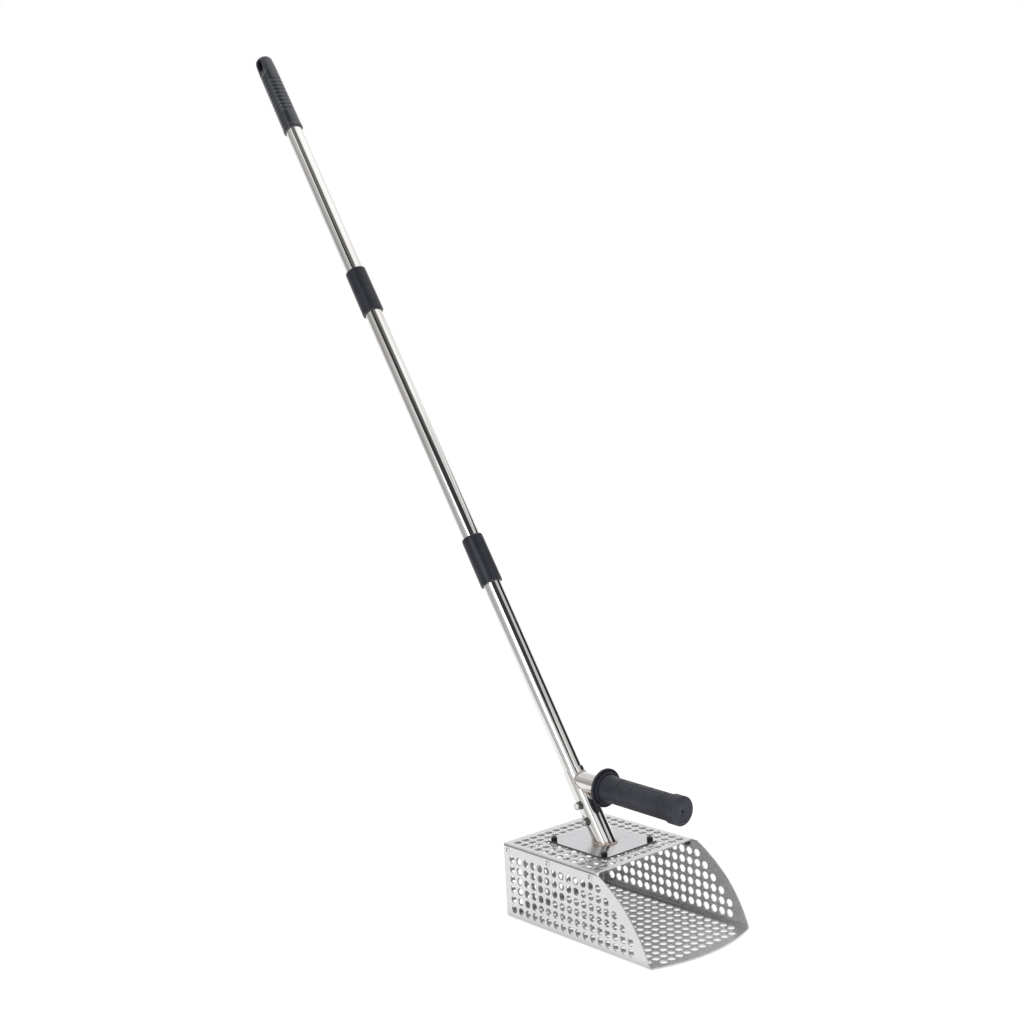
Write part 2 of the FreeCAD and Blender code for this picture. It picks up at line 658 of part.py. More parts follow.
def clamp_bolt(name, along):
    """One clamp bolt bearing on the pole, with its washer."""
    place = clamp_frame(along)
    under_head = "dims.nut_face + dims.bolt_washer_thick"
    washer = cut(rod("dims.bolt_washer", "dims.nut_face", under_head, place),
                 rod("dims.bolt_size + dims.bolt_slack", "dims.overrun", "dims.socket_outer", place))
    keep(washer, "clamp_washer_" + name)
    head = hexagon("dims.bolt_flats", under_head, f"{under_head} + dims.bolt_head", place)
    keep(fuse(head, rod("dims.bolt_size", "dims.bolt_tip", under_head, place)), "clamp_bolt_" + name)


def front_grip():
    """Rubber handlebar grip: hand guard, step, body and end collar, closed at its end but for a vent."""
    guard = "dims.guard_size / 2"
    step = "dims.step_size / 2"
    body = "dims.grip_size / 2"
    end = "dims.end_size / 2"
    bore = "dims.grip_fit / 2"
    vent = "dims.grip_vent / 2"
    closed = "dims.stub_end + dims.end_gap"
    profile = [
        (bore, "dims.grip_start"),
        (guard, "dims.grip_start"),
        (guard, "dims.grip_start + dims.guard_rim"),
        (step, "dims.grip_start + dims.guard_end"),
        (step, "dims.grip_start + dims.step_end"),
        (body, "dims.grip_start + dims.body_start"),
        (body, "dims.grip_end - dims.body_finish"),
        (end, "dims.grip_end - dims.end_collar"),
        (end, "dims.grip_end - dims.end_chamfer"),
        (f"{end} - dims.end_chamfer", "dims.grip_end"),
        (vent, "dims.grip_end"),
        (vent, closed),
        (bore, closed),
    ]
    lathe("front_grip", profile, handle_frame())


# ---- pole -------------------------------------------------------------------------------------------

def pole_tubes():
    """The three lengths of the pole."""
    frame = pole_frame()
    sections = (
        ("lower_pole_tube", "dims.pole_foot", "dims.first_joint - dims.thrust_washer"),
        ("middle_pole_tube", "dims.first_joint", "dims.second_joint - dims.thrust_washer"),
        ("upper_pole_tube", "dims.second_joint", "dims.pole_end"),
    )
    for label, bottom, top in sections:
        lathe(label, ring("dims.pole_inner", "dims.pole_outer", bottom, top), frame)


def screwed_joint(joint, below, above, washer):
    """Male plug, female insert, thrust washer and outer collar of one joint of the pole."""
    frame = pole_frame(joint)
    face = "-dims.thrust_washer"
    plug = [
        ("0", f"{face} - dims.plug_depth"),
        ("dims.fixed_fit / 2", f"{face} - dims.plug_depth"),
        ("dims.fixed_fit / 2", face),
        ("dims.thread_outer / 2", face),
        ("dims.thread_outer / 2", "dims.thread_reach - dims.thread_chamfer"),
        ("dims.thread_outer / 2 - dims.thread_chamfer", "dims.thread_reach"),
        ("0", "dims.thread_reach"),
    ]
    lathe(below + "_thread_plug", plug, frame)
    washer_low = f"{face} + dims.thrust_gap"
    lathe(washer, ring("dims.thread_inner", "dims.thrust_outer", washer_low, "-dims.thrust_gap"), frame)
    insert = ring("dims.thread_inner", "dims.fixed_fit", "0", "dims.insert_depth")
    lathe(above + "_thread_insert", insert, frame)
    low = "dims.collar_low / 2"
    high = "dims.collar_high / 2"
    bore = "dims.collar_inner / 2"
    collar = [
        (bore, "-dims.collar_below"),
        (f"{low} - dims.collar_chamfer", "-dims.collar_below"),
        (low, "dims.collar_chamfer - dims.collar_below"),
        (high, "dims.collar_above - dims.collar_chamfer"),
        (f"{high} - dims.collar_chamfer", "dims.collar_above"),
        (bore, "dims.collar_above"),
    ]
    lathe(above + "_collar", collar, frame)


def top_grip():
    """Plastic grip pushed over the pole's end, flattened at its tip, with a hang slot through it."""
    base = "dims.top_grip_start"
    lip = "dims.top_grip_lip / 2"
    bore = "dims.top_grip_fit / 2"
    slot_bottom = "dims.slot_middle - dims.slot_length / 2"
    profile = [
        (bore, base),
        (lip, base),
        (lip, f"{base} + dims.lip_length"),
        ("dims.top_grip_size / 2", f"{base} + dims.lip_length + dims.lip_taper"),
        ("dims.top_grip_neck / 2", slot_bottom),
        ("dims.top_grip_shoulder / 2", "dims.top_grip_end - dims.shoulder_drop"),
        ("dims.top_grip_tip / 2", "dims.top_grip_end"),
        ("0", "dims.top_grip_end"),
        ("0", "dims.pole_end"),
        (bore, "dims.pole_end"),
    ]
    grip = lathe("top_grip", profile, pole_frame())
    slot = new_sketch(grip, "XZ_Plane")
    side = "dims.slot_width / 2"
    straight = "(dims.slot_length - dims.slot_width) / 2"
    low = f"dims.slot_middle - {straight}"
    high = f"dims.slot_middle + {straight}"
    corners = [(f"-{side}", low), (side, low), (side, high), (f"-{side}", high)]
    rounded = (f"{side} * 1.0001", -1)
    closed_outline(slot, corners, {0: rounded, 2: rounded})
    pocket_through(grip, slot)
    flat_start = f"{slot_bottom} - dims.flat_margin"
    beyond = "dims.top_grip_end + dims.overrun"
    for sign in ("", "-"):
        face = f"{sign}dims.flat_size / 2"
        outside = f"{sign}dims.top_grip_lip"
        flat = new_sketch(grip, "YZ_Plane")
        closed_outline(flat, [(face, flat_start), (outside, flat_start), (outside, beyond), (face, beyond)])
        pocket_through(grip, flat)


# ---- build ------------------------------------------------------------------------------------------

def check_document():
    """Stop on any failed object or bad sub-part shape."""
    doc.recompute()
    for obj in doc.Objects:
        if "Invalid" in obj.State or "Error" in obj.State:
            raise RuntimeError(f"{obj.Name} ({obj.Label}) failed: {obj.State}")
    for obj in subparts:
        if obj.Shape.isNull() or not obj.Shape.isValid() or not obj.Shape.Solids:
            raise RuntimeError(obj.Label + " has no valid solid")


def write_parts():
    """Write each sub-part to its own STEP file."""
    os.makedirs("parts", exist_ok=True)
    for obj in subparts:
        obj.Shape.exportStep(f"parts/{obj.Label}.step")
        box = obj.Shape.BoundBox
        print(f"{obj.Label:22s} solids {len(obj.Shape.Solids):2d}  volume {obj.Shape.Volume:10.1f} mm3  "
              f"x {box.XMin:8.2f} {box.XMax:8.2f}  y {box.YMin:8.2f} {box.YMax:8.2f}  "
              f"z {box.ZMin:8.2f} {box.ZMax:8.2f}")


scoop_floor()
scoop_rear()
scoop_side()
top_cover()
mount_plate()
rivets("side_rivets_left", 1)
rivets("side_rivets_right", -1)
plate_fasteners()
socket()
handle_stub()
weld_beads()
clamp_nuts()
clamp_bolt("lower", "dims.clamp_low")
clamp_bolt("upper", "dims.clamp_high")
front_grip()
pole_tubes()
screwed_joint("dims.first_joint", "lower", "middle", "middle_thrust_washer")
screwed_joint("dims.second_joint", "middle", "upper", "upper_thrust_washer")
top_grip()
check_document()
write_parts()
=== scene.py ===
import json
import math

import bmesh
import bpy
from mathutils import Matrix, Vector


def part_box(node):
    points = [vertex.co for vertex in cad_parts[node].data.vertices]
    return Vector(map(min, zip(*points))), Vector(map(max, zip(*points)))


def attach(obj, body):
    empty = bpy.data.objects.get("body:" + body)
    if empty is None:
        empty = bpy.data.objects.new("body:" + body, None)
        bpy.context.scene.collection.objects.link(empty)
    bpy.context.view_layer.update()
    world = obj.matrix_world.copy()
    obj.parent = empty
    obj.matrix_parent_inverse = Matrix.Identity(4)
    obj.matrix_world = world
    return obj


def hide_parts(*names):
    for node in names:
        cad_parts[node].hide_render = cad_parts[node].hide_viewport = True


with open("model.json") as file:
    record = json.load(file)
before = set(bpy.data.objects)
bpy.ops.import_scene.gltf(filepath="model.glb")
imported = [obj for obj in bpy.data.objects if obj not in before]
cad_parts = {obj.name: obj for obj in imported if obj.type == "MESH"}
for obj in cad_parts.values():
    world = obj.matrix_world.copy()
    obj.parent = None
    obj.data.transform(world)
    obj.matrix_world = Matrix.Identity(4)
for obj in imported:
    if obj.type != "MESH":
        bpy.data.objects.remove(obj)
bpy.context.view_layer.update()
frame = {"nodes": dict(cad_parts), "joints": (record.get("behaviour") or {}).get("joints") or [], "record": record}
nodes = frame["nodes"]
MM = 0.001

# ---- axes of the part, from its joints and mounts ----------------------------------------------------

JOINTS = {joint["name"]: joint for joint in frame["joints"]}
MOUNTS = {mount["name"]: mount for mount in frame["record"]["mounts"]}
POLE_AXIS = Vector(JOINTS["middle_unscrew"]["axis"]).normalized()
FIRST_JOINT = Vector(JOINTS["middle_unscrew"]["pos_m"])
SECOND_JOINT = Vector(JOINTS["upper_unscrew"]["pos_m"])
HANDLE_AXIS = Vector(MOUNTS["front_hand_grip"]["axis"]).normalized()
PLATE_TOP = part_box("mount_plate")[1].z
SIDEWAYS = Vector((0, 1, 0))
# Millimetres along the pole axis from its foot, which is on the cover's top.
FIRST_ALONG = 369
HANDLE_ALONG = 80
POLE_FOOT = FIRST_JOINT - POLE_AXIS * (FIRST_ALONG * MM)
HANDLE_ROOT = POLE_FOOT + POLE_AXIS * (HANDLE_ALONG * MM)
SOCKET_RADIUS = 12.7
STUB_RADIUS = 11.0


def axis_frame(origin, axis):
    """Frame with local Z along an axis, local Y across the tool and local X square to both."""
    forward = SIDEWAYS.cross(axis).normalized()
    matrix = Matrix((forward, SIDEWAYS, axis)).transposed().to_4x4()
    matrix.translation = origin
    return matrix


def facing(origin, axis):
    """Frame with local Z along any axis."""
    matrix = Vector((0, 0, 1)).rotation_difference(Vector(axis)).to_matrix().to_4x4()
    matrix.translation = origin
    return matrix


POLE = axis_frame(POLE_FOOT, POLE_AXIS)
HANDLE = axis_frame(HANDLE_ROOT, HANDLE_AXIS)

# ---- node material helpers ---------------------------------------------------------------------------


class Nodes:
    """Short calls for building one material's node tree."""

    def __init__(self, name):
        self.material = bpy.data.materials.new(name)
        self.material.use_nodes = True
        self.tree = self.material.node_tree
        self.tree.nodes.clear()
        self.out = self.add("ShaderNodeOutputMaterial")
        self.shader = self.add("ShaderNodeBsdfPrincipled")
        self.link(self.shader.outputs["BSDF"], self.out.inputs["Surface"])
        self.place = self.add("ShaderNodeTexCoord").outputs["Object"]

    def add(self, kind, **settings):
        node = self.tree.nodes.new(kind)
        for key, value in settings.items():
            setattr(node, key, value)
        return node

    def link(self, source, target):
        self.tree.links.new(source, target)

    def set(self, **values):
        for key, value in values.items():
            self.shader.inputs[key.replace("_", " ")].default_value = value

    def fill(self, socket, value):
        if isinstance(value, bpy.types.NodeSocket):
            self.link(value, socket)
        else:
            socket.default_value = value

    def stretched(self, scale, rotation=(0, 0, 0), offset=(0, 0, 0)):
        """Object coordinates turned and then scaled, for grain that runs one way."""
        turn = self.add("ShaderNodeMapping", vector_type="POINT")
        self.link(self.place, turn.inputs["Vector"])
        turn.inputs["Rotation"].default_value = rotation
        turn.inputs["Location"].default_value = offset
        size = self.add("ShaderNodeMapping", vector_type="POINT")
        self.link(turn.outputs["Vector"], size.inputs["Vector"])
        size.inputs["Scale"].default_value = scale
        return size.outputs["Vector"]

    def noise(self, vector, detail=3.0, rough=0.5):
        """Noise over a vector that already carries its scale."""
        node = self.add("ShaderNodeTexNoise")
        self.link(vector, node.inputs["Vector"])
        node.inputs["Scale"].default_value = 1.0
        node.inputs["Detail"].default_value = detail
        node.inputs["Roughness"].default_value = rough
        return node.outputs["Fac"]

    def ranged(self, value, low, high, to_low, to_high):
        """Value mapped from one range to another and held inside it."""
        node = self.add("ShaderNodeMapRange")
        self.link(value, node.inputs["Value"])
        limits = {"From Min": low, "From Max": high, "To Min": to_low, "To Max": to_high}
        for key, number in limits.items():
            node.inputs[key].default_value = number
        return node.outputs["Result"]

    def math(self, operation, first, second=0.0):
        node = self.add("ShaderNodeMath", operation=operation)
        self.fill(node.inputs[0], first)
        self.fill(node.inputs[1], second)
        return node.outputs[0]

    def along(self, direction):
        """Distance of each point along a direction from the part's origin."""
        dot = self.add("ShaderNodeVectorMath", operation="DOT_PRODUCT")
        self.link(self.place, dot.inputs[0])
        dot.inputs[1].default_value = direction
        return dot.outputs["Value"]

    def away(self, origin):
        """Distance of each point from an origin."""
        node = self.add("ShaderNodeVectorMath", operation="DISTANCE")
        self.link(self.place, node.inputs[0])
        node.inputs[1].default_value = origin
        return node.outputs["Value"]

    def mixed(self, amount, first, second):
        node = self.add("ShaderNodeMix", data_type="RGBA")
        self.fill(node.inputs["Factor"], amount)
        self.fill(node.inputs["A"], first)
        self.fill(node.inputs["B"], second)
        return node.outputs["Result"]

    def bump(self, height, strength, distance, normal=None):
        node = self.add("ShaderNodeBump")
        node.inputs["Strength"].default_value = strength
        node.inputs["Distance"].default_value = distance
        self.link(height, node.inputs["Height"])
        if normal is not None:
            self.link(normal, node.inputs["Normal"])
        return node.outputs["Normal"]

    def rounded_edges(self, radius):
        """Normals rounded off at sharp edges."""
        node = self.add("ShaderNodeBevel", samples=4)
        node.inputs["Radius"].default_value = radius
        return node.outputs["Normal"]

    def finish(self, color=None, roughness=None, normal=None):
        for key, socket in (("Base Color", color), ("Roughness", roughness), ("Normal", normal)):
            if socket is not None:
                self.link(socket, self.shader.inputs[key])
        return self.material


def grey(level, tint=(1.0, 1.0, 1.0)):
    """Opaque colour of one level with a slight tint."""
    return (level * tint[0], level * tint[1], level * tint[2], 1.0)


# ---- materials ---------------------------------------------------------------------------------------

BEND = 4 * MM
SHEET = 1.5 * MM
FOOT_SHADE_LOW, FOOT_SHADE_HIGH = 1 * MM, 10 * MM
LIP_SHADE_START, LIP_SHADE_END = 30 * MM, 160 * MM
SCOOP_LOW, SCOOP_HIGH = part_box("scoop_rear")[0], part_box("scoop_side_left")[1]
COVER_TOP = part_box("top_cover")[1].z
HEAT_BROWN = (0.36, 0.25, 0.17, 1)


def inside_scoop(n):
    """1 on the faces inside the scoop and 0 outside, told apart half way through the sheet."""
    split = n.add("ShaderNodeSeparateXYZ")
    n.link(n.place, split.inputs["Vector"])
    across = n.math("SUBTRACT", n.math("ABSOLUTE", split.outputs["Y"]), SCOOP_HIGH.y - BEND)
    down = n.math("SUBTRACT", BEND, split.outputs["Z"])
    backward = n.math("SUBTRACT", SCOOP_LOW.x + BEND, split.outputs["X"])
    join = n.add("ShaderNodeCombineXYZ")
    for socket, value in zip(join.inputs, (backward, across, down)):
        n.link(n.math("MAXIMUM", value, 0.0), socket)
    length = n.add("ShaderNodeVectorMath", operation="LENGTH")
    n.link(join.outputs["Vector"], length.inputs[0])
    within = n.math("LESS_THAN", length.outputs["Value"], BEND - SHEET / 2)
    below = n.math("LESS_THAN", split.outputs["Z"], COVER_TOP - SHEET / 2)
    return n.math("MULTIPLY", within, below)


def normal_share(n, axis):
    """One component of the surface normal."""
    split = n.add("ShaderNodeSeparateXYZ")
    n.link(n.add("ShaderNodeNewGeometry").outputs["Normal"], split.inputs["Vector"])
    return split.outputs[axis]


def brushed_sheet(name, level, tint, turn, rough, shaded_inside_level=None):
    """Cold-rolled stainless sheet: straight grain, cloudy patches and smears, with random scuffs inside. The
    inside is painted darker as shade, most towards the back, and a band along the outer foot and the side walls'
    top edges are painted dark as shade.

    Without a shaded inside level it is the flat plate, whose upright faces are painted dark as shade of the gap
    under its edges."""
    n = Nodes(name)
    grain = n.noise(n.stretched((18, 900, 900), turn), detail=4.0, rough=0.65)
    fine = n.noise(n.stretched((60, 3200, 3200), turn), detail=2.0)
    clouds = n.noise(n.stretched((22, 22, 22)), detail=3.0)
    smears = n.noise(n.stretched((9, 40, 40), turn, (0.3, 0.1, 0.2)), detail=4.0)
    streaks, patches = n.ranged(grain, 0.3, 0.7, -0.06, 0.06), n.ranged(clouds, 0.3, 0.7, -0.04, 0.04)
    shade = n.math("ADD", streaks, patches)
    amount = n.math("ADD", shade, 0.5)
    color = n.mixed(amount, grey(level * 0.62, tint), grey(min(level * 1.34, 1.0), tint))
    smeared = n.ranged(smears, 0.45, 0.75, 0.0, 0.07)
    spread = n.math("ADD", n.ranged(fine, 0.25, 0.75, *rough), smeared)
    if shaded_inside_level:
        # Painted shade inside the scoop: darker overall, darkest towards the back and lighter towards the lip,
        # over random scuff patches.
        scuffs = n.noise(n.stretched((420, 420, 420)), detail=4.0, rough=0.7)
        lighter_near_lip = n.ranged(n.along((1, 0, 0)), LIP_SHADE_START, LIP_SHADE_END, 0.0, 0.30)
        shade = n.math("ADD", n.ranged(scuffs, 0.3, 0.7, 0.0, 0.5), lighter_near_lip)
        inside_shade_color = n.mixed(shade, grey(shaded_inside_level * 0.7, tint), grey(shaded_inside_level * 1.9, tint))
        inside = inside_scoop(n)
        color = n.mixed(inside, color, inside_shade_color)
        spread = n.math("ADD", spread, n.math("MULTIPLY", inside, 0.08))
        # Painted shade along the outer foot, darkest at the bottom bend.
        near_foot = n.ranged(n.along((0, 0, 1)), FOOT_SHADE_LOW, FOOT_SHADE_HIGH, 1.0, 0.0)
        foot_shade = n.math("MAXIMUM", n.math("SUBTRACT", near_foot, inside), 0.0)
        color = n.mixed(n.math("MULTIPLY", foot_shade, 0.45), color, grey(level * 0.45, tint))
        # Painted shade: the side walls' top faces are painted dark for the groove under the cover's edge.
        high = n.math("GREATER_THAN", n.along((0, 0, 1)), SCOOP_HIGH.z - 0.2 * MM)
        wide = n.math("GREATER_THAN", n.math("ABSOLUTE", n.along((0, 1, 0))), SCOOP_HIGH.y - 1.7 * MM)
        top_edge_shade = n.math("MULTIPLY", high, wide)
        color = n.mixed(top_edge_shade, color, grey(0.28, tint))
    else:
        # Painted shade: the plate's upright faces are painted dark for the gap under its edges.
        upright = n.math("LESS_THAN", normal_share(n, "Z"), 0.5)
        color = n.mixed(upright, color, grey(0.17, tint))
    normal = n.bump(grain, 0.10, 0.05 * MM, n.rounded_edges(0.3 * MM))
    n.set(Metallic=1.0, Anisotropic=0.4)
    return n.finish(color, spread, normal)


def polished_tube(name, welded):
    """Polished stainless tube: near mirror, faint marks round it and long draw lines.

    A welded tube also has heat tint at the socket's foot and under the handle's root."""
    n = Nodes(name)
    turn = (0, math.atan2(-POLE_AXIS.x, POLE_AXIS.z), 0)
    rings = n.noise(n.stretched((60, 60, 2600), turn), detail=3.0)
    draws = n.noise(n.stretched((700, 700, 5), turn), detail=2.0)
    clouds = n.noise(n.stretched((30, 30, 12), turn), detail=3.0)
    dark, light = grey(0.72, (1, 0.98, 0.955)), grey(0.82, (1, 0.985, 0.97))
    color = n.mixed(n.ranged(clouds, 0.3, 0.7, 0.0, 1.0), dark, light)
    if welded:
        ragged = n.noise(n.stretched((160, 160, 160)), detail=2.0)
        foot = n.math("SUBTRACT", PLATE_TOP + 5 * MM, n.along((0, 0, 1)))
        under_root = HANDLE_ROOT + HANDLE_AXIS * (14 * MM) - POLE_AXIS * (10 * MM)
        root = n.math("SUBTRACT", 9 * MM, n.away(under_root))
        uneven = n.ranged(ragged, 0.3, 0.7, -1.5 * MM, 1.5 * MM)
        heat = n.math("ADD", n.math("MAXIMUM", foot, root), uneven)
        color = n.mixed(n.ranged(heat, 0.0, 4 * MM, 0.0, 0.85), color, HEAT_BROWN)
    marks, lines = n.ranged(rings, 0.3, 0.7, 0.035, 0.075), n.ranged(draws, 0.35, 0.75, 0.0, 0.03)
    rough = n.math("ADD", marks, lines)
    normal = n.bump(rings, 0.03, 0.02 * MM, n.rounded_edges(0.3 * MM))
    n.set(Metallic=1.0)
    return n.finish(color, rough, normal)


def moulded(name, level, rough, grain_scale, bump, tint=(0.86, 0.92, 1.30), gloss=0.42):
    """Black moulded rubber or plastic with a fine texture and slightly greyed patches."""
    n = Nodes(name)
    grain = n.noise(n.stretched((grain_scale,) * 3), detail=3.0, rough=0.6)
    clouds = n.noise(n.stretched((45, 45, 45)), detail=3.0)
    dark, light = grey(level * 0.75, tint), grey(level * 1.5, tint)
    color = n.mixed(n.ranged(clouds, 0.35, 0.7, 0.0, 1.0), dark, light)
    spread = n.ranged(grain, 0.3, 0.7, rough - 0.06, rough + 0.08)
    normal = n.bump(grain, bump, 0.12 * MM, n.rounded_edges(0.25 * MM))
    n.set(Specular_IOR_Level=gloss, Specular_Tint=(0.88, 0.91, 1.0, 1.0))
    return n.finish(color, spread, normal)


def hardware(name, level, rough):
    """Small metal parts with a lightly mottled finish."""
    n = Nodes(name)
    speckle = n.noise(n.stretched((1600, 1600, 1600)), detail=2.0)
    clouds = n.noise(n.stretched((220, 220, 220)), detail=2.0)
    color = n.mixed(n.ranged(clouds, 0.3, 0.7, 0.0, 1.0), grey(level * 0.85), grey(min(level * 1.12, 1)))
    n.set(Metallic=1.0)
    return n.finish(color, n.ranged(speckle, 0.3, 0.7, rough - 0.05, rough + 0.08),
                    n.bump(speckle, 0.08, 0.03 * MM, n.rounded_edges(0.15 * MM)))


def clamp_hardware_painted_shade():
    """Clamp bolts and their washers and nuts: faces turned out along -Y keep bright steel, and every other face is
    painted dark as shade.
    """
    n = Nodes("clamp_hardware_painted_shade")
    speckle = n.noise(n.stretched((1600, 1600, 1600)), detail=2.0)
    # Painted shade by face direction: only faces turned out along -Y keep the bright steel colour.
    outward = n.math("LESS_THAN", normal_share(n, "Y"), -0.75)
    bright = n.mixed(n.ranged(speckle, 0.3, 0.7, 0.0, 1.0), grey(0.62), grey(0.80))
    color = n.mixed(outward, grey(0.13, (1.0, 0.97, 0.95)), bright)
    n.set(Metallic=1.0)
    return n.finish(color, n.ranged(speckle, 0.3, 0.7, 0.12, 0.24), n.bump(speckle, 0.08, 0.03 * MM))


def weld_metal():
    """Weld bead: bright steel with straw patches, and brown heat tint painted on its downward faces, which also
    stands in for shade under the bead.
    """
    n = Nodes("weld_metal")
    patches = n.noise(n.stretched((420, 420, 420)), detail=3.0)
    speckle = n.noise(n.stretched((2600, 2600, 2600)), detail=2.0)
    steel, straw = (0.68, 0.66, 0.64, 1), (0.44, 0.39, 0.34, 1)
    bright = n.mixed(n.ranged(patches, 0.35, 0.65, 0.0, 1.0), steel, straw)
    # Brown heat tint and painted shade on the faces that turn downwards.
    under = n.ranged(normal_share(n, "Z"), -0.7, 0.1, 0.85, 0.0)
    color = n.mixed(under, bright, (0.30, 0.23, 0.18, 1))
    n.set(Metallic=1.0)
    return n.finish(color, n.ranged(speckle, 0.3, 0.7, 0.22, 0.42), n.bump(speckle, 0.1, 0.05 * MM))


SHEET_TINT = (0.995, 0.99, 1.0)
LENGTHWISE = (0, 0, 0)
CROSSWISE = (0, 0, math.pi / 2)
MATERIALS = {
    "sheet": brushed_sheet("sheet_long_grain", 0.70, SHEET_TINT, LENGTHWISE, (0.22, 0.34), 0.50),
    "sheet_cross": brushed_sheet("sheet_cross_grain", 0.70, SHEET_TINT, CROSSWISE, (0.22, 0.34), 0.44),
    "plate": brushed_sheet("plate_steel", 0.58, (1.0, 0.985, 1.02), LENGTHWISE, (0.13, 0.22)),
    "tube": polished_tube("polished_tube", welded=False),
    "welded_tube": polished_tube("welded_tube", welded=True),
    "rubber": moulded("black_rubber", 0.018, 0.50, 2600, 0.30, gloss=0.50),
    "plastic": moulded("black_plastic", 0.014, 0.38, 2000, 0.20),
    "glossy_plastic": moulded("glossy_plastic", 0.009, 0.24, 2000, 0.10, gloss=0.95),
    "thread": moulded("thread_plastic", 0.05, 0.5, 1500, 0.2),
    "nylon": moulded("nylon_washer", 0.6, 0.45, 1800, 0.1, (1.0, 0.99, 0.94)),
    "rivet": hardware("rivet_metal", 0.74, 0.24),
    # Near-black mandrel and bulbs: painted shade for the rivets' centre recesses and for their tails inside the
    # scoop.
    "mandrel": hardware("rivet_mandrel", 0.10, 0.45),
    "bright": hardware("bright_hardware", 0.70, 0.16),
    "black": hardware("black_oxide", 0.030, 0.36),
    "clamp": clamp_hardware_painted_shade(),
    "weld": weld_metal(),
}
CAD_MATERIAL = {
    "scoop_floor": "sheet", "scoop_side_left": "sheet", "scoop_side_right": "sheet",
    "scoop_rear": "sheet_cross", "top_cover": "sheet", "mount_plate": "plate",
    "socket_tube": "welded_tube", "grip_stub": "welded_tube",
    "lower_pole_tube": "tube", "middle_pole_tube": "tube", "upper_pole_tube": "tube",
    "socket_weld_bead": "weld", "stub_weld_bead": "weld",
    "side_rivets_left": "rivet", "side_rivets_right": "rivet", "plate_screws": "black",
    "plate_washers": "bright", "plate_nuts": "bright", "clamp_nuts": "clamp",
    "clamp_bolt_lower": "clamp", "clamp_bolt_upper": "clamp",
    "clamp_washer_lower": "clamp", "clamp_washer_upper": "clamp",
    "front_grip": "rubber", "top_grip": "glossy_plastic",
    "middle_collar": "plastic", "upper_collar": "plastic",
    "lower_thread_plug": "thread", "middle_thread_plug": "thread", "middle_thread_insert": "thread",
    "upper_thread_insert": "thread", "middle_thrust_washer": "nylon", "upper_thrust_washer": "nylon",
}
for node, key in CAD_MATERIAL.items():
    mesh_slots = nodes[node].data.materials
    mesh_slots.clear()
    mesh_slots.append(MATERIALS[key])

# ---- mesh helpers ------------------------------------------------------------------------------------

SHARP_ANGLE = math.radians(38)


def smooth_step(low, high, value):
    """0 below low, 1 above high and a smooth rise between."""
    share = min(max((value - low) / (high - low), 0.0), 1.0)
    return share * share * (3 - 2 * share)


def arc(middle, radius, start, finish, steps=5):
    """Points of an arc in a (radius, height) profile, between two angles in degrees."""
    points = []
    for step in range(steps + 1):
        angle = math.radians(start + (finish - start) * step / steps)
        points.append((middle[0] + radius * math.cos(angle), middle[1] + radius * math.sin(angle)))
    return points


def divided(points, step):
    """Profile points with more put between them, no further apart than a step."""
    finer = [points[0]]
    for before, after in zip(points, points[1:]):
        count = max(1, math.ceil(abs(after[1] - before[1]) / step))
        for index in range(1, count + 1):
            share = index / count
            finer.append(tuple(low + (high - low) * share for low, high in zip(before, after)))
    return finer


def hexagon(angle, flats):
    """Reach of a hexagon of a size across flats at an angle round its middle."""
    sixth = math.pi / 3
    return flats / 2 / math.cos((angle + sixth / 2) % sixth - sixth / 2)


def turned(bm, profile, place, segments=96, shape=None, material=0):
    """Add the solid turned from a closed profile of (radius, height) points in millimetres.

    The shape function, if there is one, alters the radius at each angle."""
    rings = []
    for radius, height in profile:
        if radius < 1e-6:
            rings.append([bm.verts.new(place @ Vector((0, 0, height * MM)))])
            continue
        ring = []
        for index in range(segments):
            angle = 2 * math.pi * index / segments
            reach = shape(angle, radius, height) if shape else radius
            spot = Vector((reach * math.cos(angle), reach * math.sin(angle), height)) * MM
            ring.append(bm.verts.new(place @ spot))
        rings.append(ring)
    bands = list(zip(rings, rings[1:]))
    if len(rings[0]) > 1:
        bands.append((rings[-1], rings[0]))
    for low, high in bands:
        for index in range(segments):
            after = (index + 1) % segments
            corners = (low[index % len(low)], low[after % len(low)],
                       high[after % len(high)], high[index % len(high)])
            face = bm.faces.new(list(dict.fromkeys(corners)))
            face.material_index = material


def threaded(bm, place, radius, bottom, top, pitch, segments=36):
    """Add a rod with a helical thread between two heights."""
    depth = 0.31 * pitch

    def thread(angle, reach, height):
        if reach < radius:
            return reach
        turns = (height / pitch + angle / (2 * math.pi)) % 1.0
        ends = smooth_step(bottom, bottom + pitch, height)
        return reach - depth * (1 - abs(2 * turns - 1)) - depth * (1 - ends)

    profile = [(0, bottom), (radius - depth * 2, bottom)]
    profile += divided([(radius, bottom), (radius, top)], pitch / 4)
    profile += [(0, top)]
    turned(bm, profile, place, segments, thread)


def piece(name, bm, materials, body, slot, *replaced):
    """Make an object of a finished mesh that rides on a body and stands for CAD nodes."""
    bmesh.ops.recalc_face_normals(bm, faces=bm.faces)
    mesh = bpy.data.meshes.new(name)
    bm.to_mesh(mesh)
    bm.free()
    mesh.shade_smooth()
    mesh.set_sharp_from_angle(angle=SHARP_ANGLE)
    for key in materials:
        mesh.materials.append(MATERIALS[key])
    obj = bpy.data.objects.new(name, mesh)
    bpy.context.scene.collection.objects.link(obj)
    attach(obj, body)
    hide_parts(*replaced)
    return obj


# ---- front grip --------------------------------------------------------------------------------------

GRIP_BACK = 46
GRIP_TIP = 168.5
TILE_ROWS = 8
TILE_TURN = 18
TILE_RADIUS = 15.25
TILE_START, TILE_PITCH, TILES = 77, 22.0, 3
RIBS = (145.5, 148.5, 151.5)
KNURL = (156.5, 159.5)


